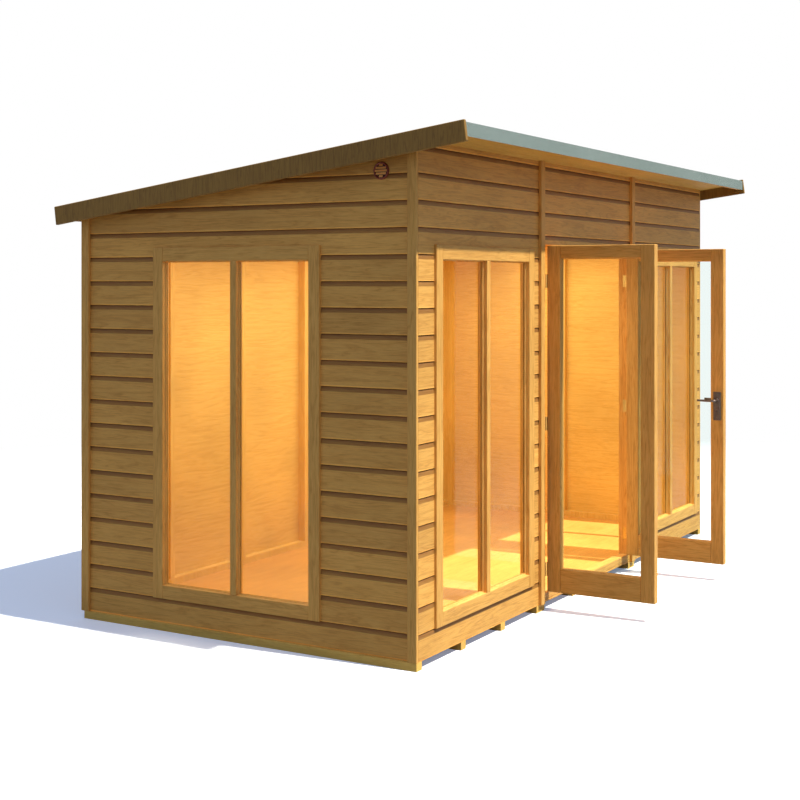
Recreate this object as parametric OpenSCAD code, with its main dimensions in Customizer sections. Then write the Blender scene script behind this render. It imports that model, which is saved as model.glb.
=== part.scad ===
// Pent roof timber summerhouse: tall glazed front with a pair of doors, roof falling to the back.
// X runs along the front, the front faces -Y, Z is up. Millimetres.

/* [Building] */
// length over the corner trims, along the front
body_w = 3640; // [3200:20:4800]
// depth over the front and back boards
body_d = 1840; // [1560:10:2600]
// wall height at the front boards, ground to roof deck
front_h = 2185; // [2120:5:2500]
// wall height at the back boards, ground to roof deck
back_h = 1945; // [1880:5:2100]

/* [Walls] */
// thickness of the shiplap boards
board_t = 12; // [8:1:22]
// depth of the wall studs, outside to inside
stud_d = 44; // [34:1:70]
// face width of the wall studs and rails
stud_w = 34; // [26:1:45]
// width of the corner trims
trim_w = 45; // [30:1:70]
// thickness of the corner trims and of the cover strips
trim_t = 16; // [10:1:22]
// width of the cover strips over the panel joints
strip_w = 45; // [30:1:60]
// play left between two timbers that are nailed together
joint_play = 0.2; // [0.1:0.05:0.4]

/* [Floor] */
// height of the bearers
bearer_h = 35; // [25:1:75]
// width of the bearers
bearer_w = 45; // [30:1:70]
// bearers under one floor panel
bearers_per_panel = 4; // [3:1:6]
// how far the bearers stop short of the back boards
bearer_short = 20; // [0:1:60]
// floor thickness
floor_t = 12; // [9:1:25]

/* [Front windows] */
// window frame width over all, on the front
win_w = 970; // [700:5:990]
// left edge of the frame, from the left edge of its panel
win_x = 151; // [100:1:170]
// bottom of the window frames, from the ground
win_z = 146; // [120:1:500]
// height of the window frames
win_h = 1611; // [900:5:1640]
// width of the window stiles
win_stile = 57; // [35:1:80]
// height of the top rail
win_top = 63; // [35:1:90]
// height of the bottom rail
win_bottom = 62; // [35:1:110]
// width of the middle bar
win_bar = 33; // [20:1:60]
// how far a window frame stands out of the boards
win_proud = 12; // [4:1:20]
// depth of a window frame, outside to inside
win_d = 50; // [36:1:56]
// how far the glass lies behind the frame face
glass_back = 27; // [10:1:30]
// glass thickness
glass_t = 4; // [3:1:6]

/* [End window] */
// width of the window frame in the left end wall
end_win_w = 920; // [600:4:1100]
// How far the end window sits behind the middle of its wall
end_win_back = 22; // [0:1:60]

/* [Doors] */
// width of one door leaf
leaf_w = 550; // [480:2:570]
// height of a door leaf
leaf_h = 1688; // [1500:2:1720]
// thickness of a door leaf
leaf_t = 43; // [35:1:50]
// clearance round the door leaves
door_gap = 6; // [5:0.5:8]
// bottom of the door leaves, from the ground
door_z = 89; // [88:1:110]
// width of the door stiles
door_stile = 70; // [55:1:95]
// height of the door top rail
door_top = 62; // [50:1:110]
// height of the door bottom rail
door_bottom = 115; // [70:1:220]
// height of the threshold top above the ground
sill_z = 82; // [70:1:82]
// angle the doors stand open at
open_deg = 90; // [0:5:150]

/* [Hinges] */
// hinge height
hinge_h = 66; // [50:2:90]
// hinge knuckle radius
knuckle_r = 6; // [5:0.5:8]
// hinge pin radius
pin_r = 3; // [2:0.25:4]
// clearance round a hinge pin
pin_clear = 0.3; // [0.2:0.05:0.6]
// hinge plate thickness
plate_t = 2; // [1.5:0.1:2.4]
// hinge plate width, into the wall
plate_d = 30; // [20:1:36]
// hinge heights above the door bottom
hinge_at = [110, 820, 1515]; // [60:5:1640]

/* [Door handle] */
// height of the lever above the ground
lever_z = 966; // [900:1:1050]
// lever length, from its spindle to the tip
lever_l = 100; // [70:1:130]
// how far a lever stands off the door face
lever_off = 46; // [30:1:60]
// lever bar diameter
lever_bar = 14; // [10:1:18]
// width of a handle plate
hplate_w = 40; // [34:1:50]
// height of a handle plate
hplate_h = 152; // [120:1:240]
// thickness of a handle plate
hplate_t = 6; // [4:0.5:8]
// how far the plate reaches above the lever
hplate_up = 46; // [30:1:70]
// spindle diameter
spindle_d = 12; // [8:1:14]
// clearance round the spindle
spindle_clear = 0.5; // [0.3:0.1:1]

/* [Roof] */
// side overhang, wall face to barge board face
roof_side = 70; // [40:2:150]
// front overhang
roof_front = 256; // [120:4:400]
// back overhang
roof_back = 108; // [60:4:250]
// roof deck thickness
deck_t = 15; // [10:1:22]
// felt thickness
felt_t = 3; // [2:0.5:5]
// eaves batten thickness
eaves_t = 20; // [15:1:35]
// eaves batten height under the deck
eaves_h = 38; // [25:1:60]
// barge board depth
barge_h = 88; // [60:1:140]
// barge board thickness
barge_t = 18; // [12:1:28]
// how far the barge boards stand above the felt
barge_up = 9; // [0:1:20]
// rafter height
rafter_h = 60; // [44:1:80]

/* [Vent] */
// vent diameter
vent_d = 75; // [60:1:100]
// width of the vent rim
vent_rim = 9; // [6:1:14]
// vent centre behind the front boards
vent_y = 177; // [140:1:240]
// vent centre below the roof deck
vent_drop = 98; // [90:1:140]
// how far the vent stands out of the boards
vent_t = 9; // [6:1:14]
// number of vent slats
vent_slats = 5; // [3:1:7]

/* [Hidden] */
$fn = 48;
panel_w = body_w / 3;
slope = (front_h - back_h) / body_d;
pitch = atan(slope);
wall_t = board_t + stud_d;
floor_z = bearer_h + floor_t;
hinge_x = body_w / 2 - 1.5 * door_gap - leaf_w;
jamb_l = hinge_x;
jamb_r = body_w - hinge_x;
pivot_x = hinge_x + door_gap / 2;
head_z = door_z + leaf_h + door_gap;
end_x = trim_t;
win_top_z = win_z + win_h;
end_win_y = (body_d - end_win_w) / 2 + end_win_back;
vent_z = front_h - vent_y * slope - vent_drop;
deck_rise = deck_t / cos(pitch);
felt_rise = felt_t / cos(pitch);
deck_front = -(roof_front - felt_t);
deck_back = body_d + roof_back - felt_t;
deck_side = roof_side - barge_t;
leaf_end = door_gap / 2 + leaf_w;
front_reach = max(roof_front + barge_h * sin(pitch), open_deg > 20 ? leaf_end * sin(open_deg) + knuckle_r : 0);
mid_y = (body_d + roof_back - front_reach) / 2;

wood = [0.72, 0.50, 0.24];
wood_in = [0.88, 0.62, 0.30];
wood_dark = [0.42, 0.33, 0.19];
glass_c = [0.80, 0.88, 0.86, 0.35];
felt_c = [0.45, 0.53, 0.50];
brass_c = [0.80, 0.62, 0.30];
bronze_c = [0.33, 0.29, 0.27];
terracotta = [0.78, 0.42, 0.28];

// height of the deck underside above the ground, at depth y
function roof_z(y) = front_h - y * slope;

module centred() {
    translate([-body_w / 2, -mid_y, 0]) children();
}

// a bar along X with its outline in Y and Z
module along_x(x0, x1, outline) {
    translate([x0, 0, 0]) rotate([90, 0, 90]) linear_extrude(height = x1 - x0) polygon(outline);
}

// an upright between x0 and x1, y0 and y1, cut off under the roof slope, drop below the deck
module upright(x0, x1, y0, y1, z0, drop = 0) {
    top = drop + joint_play;
    along_x(x0, x1, [[y0, z0], [y1, z0], [y1, roof_z(y1) - top], [y0, roof_z(y0) - top]]);
}

// a plate between x0 and x1, y0 and y1, under the roof slope, its underside at z0
module top_plate(x0, x1, y0, y1) {
    upright(x0, x1, y0, y1, roof_z(y1) - stud_w);
}

// a stud that stands on the bottom rail and reaches the top plate
module stud(x0, y0, y1) {
    block(x0, x0 + stud_w, y0, y1, floor_z + stud_w + joint_play, roof_z(y1) - stud_w - joint_play);
}

module block(x0, x1, y0, y1, z0, z1) {
    translate([x0, y0, z0]) cube([x1 - x0, y1 - y0, z1 - z0]);
}

// ---- floor ----

module bearers(panel) {
    step = (panel_w - bearer_w) / (bearers_per_panel - 1);
    color(wood_in) centred()
        for (i = [0 : bearers_per_panel - 1])
            block(panel * panel_w + i * step + (i == 0 && panel > 0 ? 1 : 0),
                panel * panel_w + i * step + bearer_w, 0, body_d - bearer_short, 0, bearer_h);
}

module floor_panel(panel) {
    x0 = panel == 0 ? end_x + board_t : panel * panel_w;
    x1 = panel == 2 ? body_w - end_x - board_t : (panel + 1) * panel_w;
    color(wood_in) centred() block(x0, x1, board_t, body_d - board_t, bearer_h, floor_z);
}

module bearers_left() bearers(0);
module bearers_middle() bearers(1);
module bearers_right() bearers(2);
module floor_left() floor_panel(0);
module floor_middle() floor_panel(1);
module floor_right() floor_panel(2);

// ---- front window panels ----

module front_cladding(panel) {
    x0 = panel == 0 ? end_x : panel * panel_w;
    x1 = panel == 2 ? body_w - end_x : (panel + 1) * panel_w;
    wx = panel * panel_w + win_x;
    color(wood) centred() difference() {
        upright(x0, x1, 0, board_t, bearer_h);
        block(wx, wx + win_w, -1, board_t + 1, win_z, win_top_z);
    }
}

module front_studs(panel) {
    x0 = panel == 0 ? end_x + board_t : panel * panel_w;
    x1 = panel == 2 ? body_w - end_x - board_t : (panel + 1) * panel_w;
    wx = panel * panel_w + win_x;
    color(wood_in) centred() {
        for (x = [x0, wx - stud_w, wx + win_w, x1 - stud_w])
            stud(x, board_t, wall_t);
        block(x0, x1, board_t, wall_t, floor_z, floor_z + stud_w);
        block(wx + joint_play, wx + win_w - joint_play, board_t, wall_t,
            floor_z + stud_w + joint_play, win_z);
        block(wx + joint_play, wx + win_w - joint_play, board_t, wall_t,
            win_top_z, win_top_z + stud_w);
        top_plate(x0, x1, board_t, wall_t);
    }
}

// fixed window frame with one upright bar, outline from the origin, face at y = -win_proud
module window_frame(w) {
    y0 = -win_proud;
    y1 = win_d - win_proud;
    j = joint_play;
    for (x = [0, w - win_stile]) block(x, x + win_stile, y0, y1, 0, win_h);
    block(win_stile + j, w - win_stile - j, y0, y1, 0, win_bottom);
    block(win_stile + j, w - win_stile - j, y0, y1, win_h - win_top, win_h);
    block((w - win_bar) / 2, (w + win_bar) / 2, y0, y1, win_bottom + j, win_h - win_top - j);
}

function pane_w(w) = (w - 2 * win_stile - win_bar) / 2;
function pane_h() = win_h - win_top - win_bottom;
function pane_at(w, side) = [win_stile + side * (pane_w(w) + win_bar), 0, win_bottom];

module window_glass(w) {
    for (side = [0, 1]) translate(pane_at(w, side)) translate([0, glass_back - win_proud, 0])
        cube([pane_w(w), glass_t, pane_h()]);
}

module front_left_cladding() front_cladding(0);
module front_left_studs() front_studs(0);
module front_left_window() color(wood) centred() translate([win_x, 0, win_z]) window_frame(win_w);
module front_left_glass() color(glass_c) centred() translate([win_x, 0, win_z]) window_glass(win_w);
module front_right_cladding() front_cladding(2);
module front_right_studs() front_studs(2);
module front_right_window()
    color(wood) centred() translate([2 * panel_w + win_x, 0, win_z]) window_frame(win_w);
module front_right_glass()
    color(glass_c) centred() translate([2 * panel_w + win_x, 0, win_z]) window_glass(win_w);

// ---- doorway panel ----

module door_posts() {
    color(wood) centred() for (x = [[panel_w, jamb_l], [jamb_r, 2 * panel_w]]) {
        block(x[0], x[1], 0, wall_t, floor_z, head_z);
        block(x[0], x[1], 0, board_t, bearer_h, floor_z);
    }
}

module threshold() {
    color(wood) centred() {
        block(jamb_l, jamb_r, 0, wall_t, floor_z, sill_z);
        block(jamb_l, jamb_r, 0, board_t, bearer_h, floor_z);
    }
}

module header_cladding() {
    color(wood) centred() upright(panel_w, 2 * panel_w, 0, board_t, head_z);
}

module header_frame() {
    color(wood_in) centred() {
        block(panel_w, 2 * panel_w, board_t, wall_t, head_z, head_z + stud_w);
        top_plate(panel_w, 2 * panel_w, board_t, wall_t);
        for (x = [panel_w, (body_w - stud_w) / 2, 2 * panel_w - stud_w])
            block(x, x + stud_w, board_t, wall_t, head_z + stud_w + joint_play,
                roof_z(wall_t) - stud_w - joint_play);
    }
}

// ---- strips and trims ----

module joint_strips() {
    color(wood) centred() {
        for (x = [panel_w, 2 * panel_w])
            upright(x - strip_w / 2, x + strip_w / 2, -trim_t, 0, bearer_h);
        upright((body_w - strip_w) / 2, (body_w + strip_w) / 2, body_d, body_d + trim_t, bearer_h);
    }
}

module corner_trims() {
    color(wood) centred() for (x = [0, body_w - trim_t]) {
        upright(x, x + trim_t, 0, trim_w, bearer_h);
        upright(x, x + trim_t, body_d - trim_w, body_d, bearer_h);
    }
}

// ---- end walls ----

module end_cladding(x0) {
    upright(x0, x0 + board_t, board_t, body_d - board_t, bearer_h);
}

module end_rails(x0) {
    y0 = wall_t;
    y1 = body_d - wall_t;
    top = joint_play;
    along_x(x0, x0 + stud_d, [[y0, roof_z(y0) - stud_w], [y1, roof_z(y1) - stud_w],
        [y1, roof_z(y1) - top], [y0, roof_z(y0) - top]]);
    block(x0, x0 + stud_d, y0, y1, floor_z, floor_z + stud_w);
}

module end_stud(x0, y) {
    upright(x0, x0 + stud_d, y, y + stud_w, floor_z + stud_w + joint_play, stud_w);
}

module left_wall_cladding() {
    color(wood) centred() difference() {
        end_cladding(end_x);
        block(end_x - 1, end_x + board_t + 1, end_win_y, end_win_y + end_win_w, win_z, win_top_z);
        translate([end_x - 1, vent_y, vent_z]) rotate([0, 90, 0])
            cylinder(d = vent_d - 2 * vent_rim, h = board_t + 2);
    }
}

module left_wall_studs() {
    x0 = end_x + board_t;
    color(wood_in) centred() {
        end_rails(x0);
        for (y = [wall_t, end_win_y - stud_w, end_win_y + end_win_w, body_d - wall_t - stud_w])
            end_stud(x0, y);
        for (z = [[floor_z + stud_w + joint_play, win_z], [win_top_z, win_top_z + stud_w]])
            block(x0, x0 + stud_d, end_win_y + joint_play, end_win_y + end_win_w - joint_play,
                z[0], z[1]);
    }
}

// window in the left end wall: the front window's outline turned to face -X
module at_end_window() {
    centred() translate([end_x, end_win_y + end_win_w, win_z]) rotate([0, 0, -90]) children();
}

module left_wall_window() color(wood) at_end_window() window_frame(end_win_w);
module left_wall_glass() color(glass_c) at_end_window() window_glass(end_win_w);

module vent() {
    inner = vent_d - 2 * vent_rim;
    color(terracotta) centred() translate([end_x - vent_t, vent_y, vent_z]) rotate([0, 90, 0]) {
        difference() {
            cylinder(d = vent_d, h = vent_t);
            translate([0, 0, -1]) cylinder(d = inner, h = vent_t + 2);
        }
        for (i = [1 : vent_slats]) {
            z = inner * (i / (vent_slats + 1) - 0.5);
            half = sqrt(pow(inner / 2, 2) - z * z) + vent_rim / 3;
            translate([z - 1.5, -half, 2]) cube([3, 2 * half, vent_t - 3]);
        }
    }
}

module right_wall_cladding() {
    color(wood) centred() end_cladding(body_w - end_x - board_t);
}

module right_wall_studs() {
    x0 = body_w - end_x - wall_t;
    color(wood_in) centred() {
        end_rails(x0);
        for (y = [wall_t, (body_d - stud_w) / 2, body_d - wall_t - stud_w]) end_stud(x0, y);
    }
}

// ---- back wall ----

module back_left_cladding() {
    color(wood) centred() upright(end_x, body_w / 2, body_d - board_t, body_d, bearer_h);
}

module back_right_cladding() {
    color(wood) centred() upright(body_w / 2, body_w - end_x, body_d - board_t, body_d, bearer_h);
}

module back_studs() {
    x0 = end_x + board_t;
    x1 = body_w - end_x - board_t;
    y0 = body_d - wall_t;
    y1 = body_d - board_t;
    color(wood_in) centred() {
        block(x0, x1, y0, y1, floor_z, floor_z + stud_w);
        top_plate(x0, x1, y0, y1);
        for (x = [x0, x1 - stud_w]) stud(x, y0, y1);
        for (i = [1 : 5]) stud(body_w * i / 6 - stud_w / 2, y0, y1);
    }
}

// ---- roof ----

module rafters() {
    y0 = wall_t;
    y1 = body_d - wall_t;
    color(wood_in) centred() for (x = [panel_w, 2 * panel_w])
        along_x(x - stud_w / 2, x + stud_w / 2, [[y0, roof_z(y0) - rafter_h],
            [y1, roof_z(y1) - rafter_h], [y1, roof_z(y1) - joint_play],
            [y0, roof_z(y0) - joint_play]]);
}

module roof_deck() {
    color(wood_in) centred() along_x(-deck_side, body_w + deck_side,
        [[deck_front, roof_z(deck_front)], [deck_back, roof_z(deck_back)],
        [deck_back, roof_z(deck_back) + deck_rise], [deck_front, roof_z(deck_front) + deck_rise]]);
}

module eaves_battens() {
    color(wood) centred() for (e = [[deck_front, deck_front + eaves_t, deck_front],
            [deck_back - eaves_t, deck_back, deck_back]])
        along_x(-deck_side, body_w + deck_side, [[e[0], roof_z(e[2]) - eaves_h],
            [e[1], roof_z(e[2]) - eaves_h], [e[1], roof_z(e[1]) - joint_play],
            [e[0], roof_z(e[0]) - joint_play]]);
}

module roof_felt() {
    f0 = -roof_front;
    f1 = body_d + roof_back;
    color(felt_c) centred() along_x(-deck_side, body_w + deck_side, [
        [f0, roof_z(deck_front) - eaves_h], [deck_front, roof_z(deck_front) - eaves_h],
        [deck_front, roof_z(deck_front) + deck_rise], [deck_back, roof_z(deck_back) + deck_rise],
        [deck_back, roof_z(deck_back) - eaves_h], [f1, roof_z(deck_back) - eaves_h],
        [f1, roof_z(f1) + deck_rise + felt_rise], [f0, roof_z(f0) + deck_rise + felt_rise]]);
}

module barge_board(x0) {
    y0 = -roof_front;
    y1 = body_d + roof_back;
    top = deck_rise + felt_rise + barge_up;
    dy = barge_h * sin(pitch);
    dz = barge_h * cos(pitch);
    color(wood_dark) centred() along_x(x0, x0 + barge_t, [[y0 - dy, roof_z(y0) + top - dz],
        [y1 - dy, roof_z(y1) + top - dz], [y1, roof_z(y1) + top], [y0, roof_z(y0) + top]]);
}

module barge_left() barge_board(-roof_side);
module barge_right() barge_board(body_w + roof_side - barge_t);

// ---- doors ----
// a leaf is drawn shut, from its hinge axis at the origin towards +X, then swung open

module at_left_door() {
    centred() translate([pivot_x, -knuckle_r, 0]) rotate([0, 0, -open_deg]) children();
}

module at_right_door() {
    centred() translate([body_w - pivot_x, -knuckle_r, 0]) rotate([0, 0, open_deg])
        mirror([1, 0, 0]) children();
}

module leaf_frame() {
    x0 = door_gap / 2;
    y0 = knuckle_r;
    y1 = knuckle_r + leaf_t;
    z1 = door_z + leaf_h;
    for (x = [x0, x0 + leaf_w - door_stile]) block(x, x + door_stile, y0, y1, door_z, z1);
    for (z = [[door_z, door_z + door_bottom], [z1 - door_top, z1]])
        block(x0 + door_stile + joint_play, x0 + leaf_w - door_stile - joint_play, y0, y1, z[0], z[1]);
}

module leaf_glass() {
    x0 = door_gap / 2;
    y = knuckle_r + (leaf_t - glass_t) / 2;
    block(x0 + door_stile, x0 + leaf_w - door_stile, y, y + glass_t, door_z + door_bottom,
        door_z + leaf_h - door_top);
}

// moving half of the hinges: a plate on the leaf edge and the middle knuckle
module leaf_hinges() {
    third = hinge_h / 3;
    x1 = door_gap / 2;
    for (z = hinge_at) translate([0, 0, door_z + z - hinge_h / 2]) {
        block(x1 - plate_t, x1, knuckle_r, knuckle_r + plate_d, 0, hinge_h);
        difference() {
            union() {
                translate([0, 0, third + 0.5]) cylinder(r = knuckle_r, h = third - 1);
                block(x1 - plate_t, x1, 0, knuckle_r + 1, third + 0.5, 2 * third - 0.5);
            }
            cylinder(r = pin_r + pin_clear, h = hinge_h);
        }
    }
}

// fixed half: a plate on the post, the end knuckles and the pin
module post_hinges() {
    third = hinge_h / 3;
    x0 = -door_gap / 2;
    for (z = hinge_at) translate([0, 0, door_z + z - hinge_h / 2]) {
        block(x0, x0 + plate_t, knuckle_r, knuckle_r + plate_d, 0, hinge_h);
        for (k = [0, 2 * third]) {
            translate([0, 0, k]) cylinder(r = knuckle_r, h = third);
            block(x0, x0 + plate_t, 0, knuckle_r + 1, k, k + third);
        }
        translate([0, 0, -1]) cylinder(r = pin_r, h = hinge_h + 2);
    }
}

module jamb_hinges() {
    color(brass_c) centred() {
        translate([pivot_x, -knuckle_r, 0]) post_hinges();
        translate([body_w - pivot_x, -knuckle_r, 0]) mirror([1, 0, 0]) post_hinges();
    }
}

module left_door_leaf() color(wood) at_left_door() leaf_frame();
module left_door_glass() color(glass_c) at_left_door() leaf_glass();
module left_door_hinges() color(brass_c) at_left_door() leaf_hinges();

// spindle hole through the lock stile of the right door
module spindle_hole(extra) {
    translate([leaf_end - door_stile / 2, knuckle_r - hplate_t - 1, lever_z]) rotate([-90, 0, 0])
        cylinder(d = spindle_d + 2 * spindle_clear + extra, h = leaf_t + 2 * hplate_t + 2);
}

module right_door_leaf() {
    color(wood) at_right_door() difference() {
        leaf_frame();
        spindle_hole(2);
    }
}

module right_door_glass() color(glass_c) at_right_door() leaf_glass();
module right_door_hinges() color(brass_c) at_right_door() leaf_hinges();

module handle_plates() {
    x = leaf_end - door_stile / 2;
    z0 = lever_z + hplate_up - hplate_h;
    color(bronze_c) at_right_door() difference() {
        for (y = [knuckle_r - hplate_t, knuckle_r + leaf_t])
            block(x - hplate_w / 2, x + hplate_w / 2, y, y + hplate_t, z0, z0 + hplate_h);
        spindle_hole(0);
    }
}

module handle_lever() {
    x = leaf_end - door_stile / 2;
    y0 = knuckle_r - lever_off;
    y1 = knuckle_r + leaf_t + lever_off;
    color(bronze_c) at_right_door() translate([x, 0, lever_z]) {
        translate([0, y0, 0]) rotate([-90, 0, 0]) cylinder(d = spindle_d, h = y1 - y0);
        for (y = [y0, y1 - lever_bar / 2])
            translate([-lever_l, y, -lever_bar / 2]) cube([lever_l + lever_bar / 2, lever_bar / 2, lever_bar]);
    }
}

bearers_left();
bearers_middle();
bearers_right();
floor_left();
floor_middle();
floor_right();
front_left_cladding();
front_left_studs();
front_left_window();
front_left_glass();
front_right_cladding();
front_right_studs();
front_right_window();
front_right_glass();
door_posts();
threshold();
header_cladding();
header_frame();
joint_strips();
corner_trims();
left_wall_cladding();
left_wall_studs();
left_wall_window();
left_wall_glass();
vent();
right_wall_cladding();
right_wall_studs();
back_left_cladding();
back_right_cladding();
back_studs();
rafters();
roof_deck();
roof_felt();
eaves_battens();
barge_left();
barge_right();
jamb_hinges();
left_door_leaf();
left_door_glass();
left_door_hinges();
right_door_leaf();
right_door_glass();
right_door_hinges();
handle_plates();
handle_lever();
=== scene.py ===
"""Timber pent summerhouse: materials, boards, joinery and studio, over the CAD frame."""
import math

import bpy
import bmesh
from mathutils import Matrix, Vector


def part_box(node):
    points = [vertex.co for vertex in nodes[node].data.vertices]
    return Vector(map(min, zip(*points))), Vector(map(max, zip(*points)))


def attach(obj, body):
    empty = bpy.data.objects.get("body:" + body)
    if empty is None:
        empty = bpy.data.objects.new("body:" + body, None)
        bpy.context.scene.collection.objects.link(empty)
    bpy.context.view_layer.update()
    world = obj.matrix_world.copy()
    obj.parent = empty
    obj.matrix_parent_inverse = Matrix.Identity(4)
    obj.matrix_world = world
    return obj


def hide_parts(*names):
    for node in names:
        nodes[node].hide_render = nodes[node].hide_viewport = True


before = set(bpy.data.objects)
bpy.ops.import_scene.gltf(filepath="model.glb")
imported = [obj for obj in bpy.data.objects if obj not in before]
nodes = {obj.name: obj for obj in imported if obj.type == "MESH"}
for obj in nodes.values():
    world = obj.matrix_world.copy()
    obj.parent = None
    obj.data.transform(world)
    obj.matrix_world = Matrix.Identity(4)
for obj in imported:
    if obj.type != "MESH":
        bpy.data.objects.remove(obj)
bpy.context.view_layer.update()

HOUSE = "building"
LEFT = "left_door"
RIGHT = "right_door"
LEVER = "door_lever"

# ------------------------------------------------------------------ sizes from the frame

DECK_LO, DECK_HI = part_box("roof_deck")
SKIN_LO, SKIN_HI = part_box("corner_trims")        # outer faces of the corner trims
BEAR_LO, BEAR_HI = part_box("bearers_left")
FELT_LO, FELT_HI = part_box("roof_felt")
BOARD_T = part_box("header_cladding")[1][1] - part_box("header_cladding")[0][1]
FRONT = SKIN_LO[1]
BACK = SKIN_HI[1]
LEFT_X = SKIN_LO[0]
RIGHT_X = SKIN_HI[0]
BOTTOM = SKIN_LO[2]
FRONT_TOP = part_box("header_cladding")[1][2]
BACK_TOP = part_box("back_left_cladding")[1][2]
SLOPE = (FRONT_TOP - BACK_TOP) / (BACK - BOARD_T - FRONT)

PITCH = 0.112       # cover of one shiplap board
SCOOP_H = 0.022     # height of the hollow along the top of a board
SCOOP_D = 0.0090    # its depth


def roof_under(y):
    """Height of the underside of the roof deck at depth y."""
    return FRONT_TOP - (y - FRONT) * SLOPE


# ------------------------------------------------------------------ material helpers

class Nodes:
    """Short way to lay out a node material."""

    def __init__(self, name):
        self.mat = bpy.data.materials.new(name)
        self.mat.use_nodes = True
        self.tree = self.mat.node_tree
        self.tree.nodes.clear()
        self.out = self.add("ShaderNodeOutputMaterial")
        self.bsdf = self.add("ShaderNodeBsdfPrincipled")
        self.link(self.bsdf.outputs["BSDF"], self.out.inputs["Surface"])

    def add(self, kind, **values):
        node = self.tree.nodes.new(kind)
        for key, value in values.items():
            setattr(node, key, value)
        return node

    def link(self, a, b):
        self.tree.links.new(a, b)

    def put(self, socket, value):
        if hasattr(value, "links") or isinstance(value, bpy.types.NodeSocket):
            self.link(value, socket)
        else:
            socket.default_value = value

    def math(self, op, a, b=0.0, clamp=False):
        node = self.add("ShaderNodeMath", operation=op, use_clamp=clamp)
        self.put(node.inputs[0], a)
        self.put(node.inputs[1], b)
        return node.outputs[0]

    def coords(self):
        return self.add("ShaderNodeTexCoord").outputs["Object"]

    def mapped(self, vector, scale, shift=None):
        node = self.add("ShaderNodeMapping")
        self.link(vector, node.inputs["Vector"])
        node.inputs["Scale"].default_value = scale
        if shift is not None:
            self.put(node.inputs["Location"], shift)
        return node.outputs[0]

    def noise(self, vector, scale, detail=4.0, rough=0.55, distortion=0.0):
        node = self.add("ShaderNodeTexNoise")
        self.link(vector, node.inputs["Vector"])
        node.inputs["Scale"].default_value = scale
        node.inputs["Detail"].default_value = detail
        node.inputs["Roughness"].default_value = rough
        node.inputs["Distortion"].default_value = distortion
        return node.outputs["Fac"]

    def ramp(self, fac, stops):
        node = self.add("ShaderNodeValToRGB")
        self.link(fac, node.inputs["Fac"])
        elements = node.color_ramp.elements
        while len(elements) < len(stops):
            elements.new(0.5)
        for element, (at, colour) in zip(elements, stops):
            element.position = at
            element.color = (*colour, 1.0)
        return node.outputs["Color"]

    def mix(self, fac, a, b, blend="MIX"):
        node = self.add("ShaderNodeMix", data_type="RGBA", blend_type=blend)
        self.put(node.inputs["Factor"], fac)
        self.put(node.inputs["A"], a if not isinstance(a, tuple) else (*a, 1.0))
        self.put(node.inputs["B"], b if not isinstance(b, tuple) else (*b, 1.0))
        return node.outputs["Result"]

    def bump(self, height, strength, distance, normal=None):
        node = self.add("ShaderNodeBump")
        self.link(height, node.inputs["Height"])
        node.inputs["Strength"].default_value = strength
        node.inputs["Distance"].default_value = distance
        if normal is not None:
            self.link(normal, node.inputs["Normal"])
        return node.outputs["Normal"]

    def finish(self, colour=None, rough=None, normal=None, metallic=0.0, specular=None):
        if colour is not None:
            self.put(self.bsdf.inputs["Base Color"], colour if not isinstance(colour, tuple) else (*colour, 1.0))
        if rough is not None:
            self.put(self.bsdf.inputs["Roughness"], rough)
        if normal is not None:
            self.link(normal, self.bsdf.inputs["Normal"])
        self.bsdf.inputs["Metallic"].default_value = metallic
        if specular is not None:
            self.bsdf.inputs["Specular IOR Level"].default_value = specular
        return self.mat


def srgb(r, g, b):
    """Linear colour from 0 to 255 values."""
    def one(c):
        c /= 255.0
        return c / 12.92 if c <= 0.04045 else ((c + 0.055) / 1.055) ** 2.4
    return (one(r), one(g), one(b))


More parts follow.
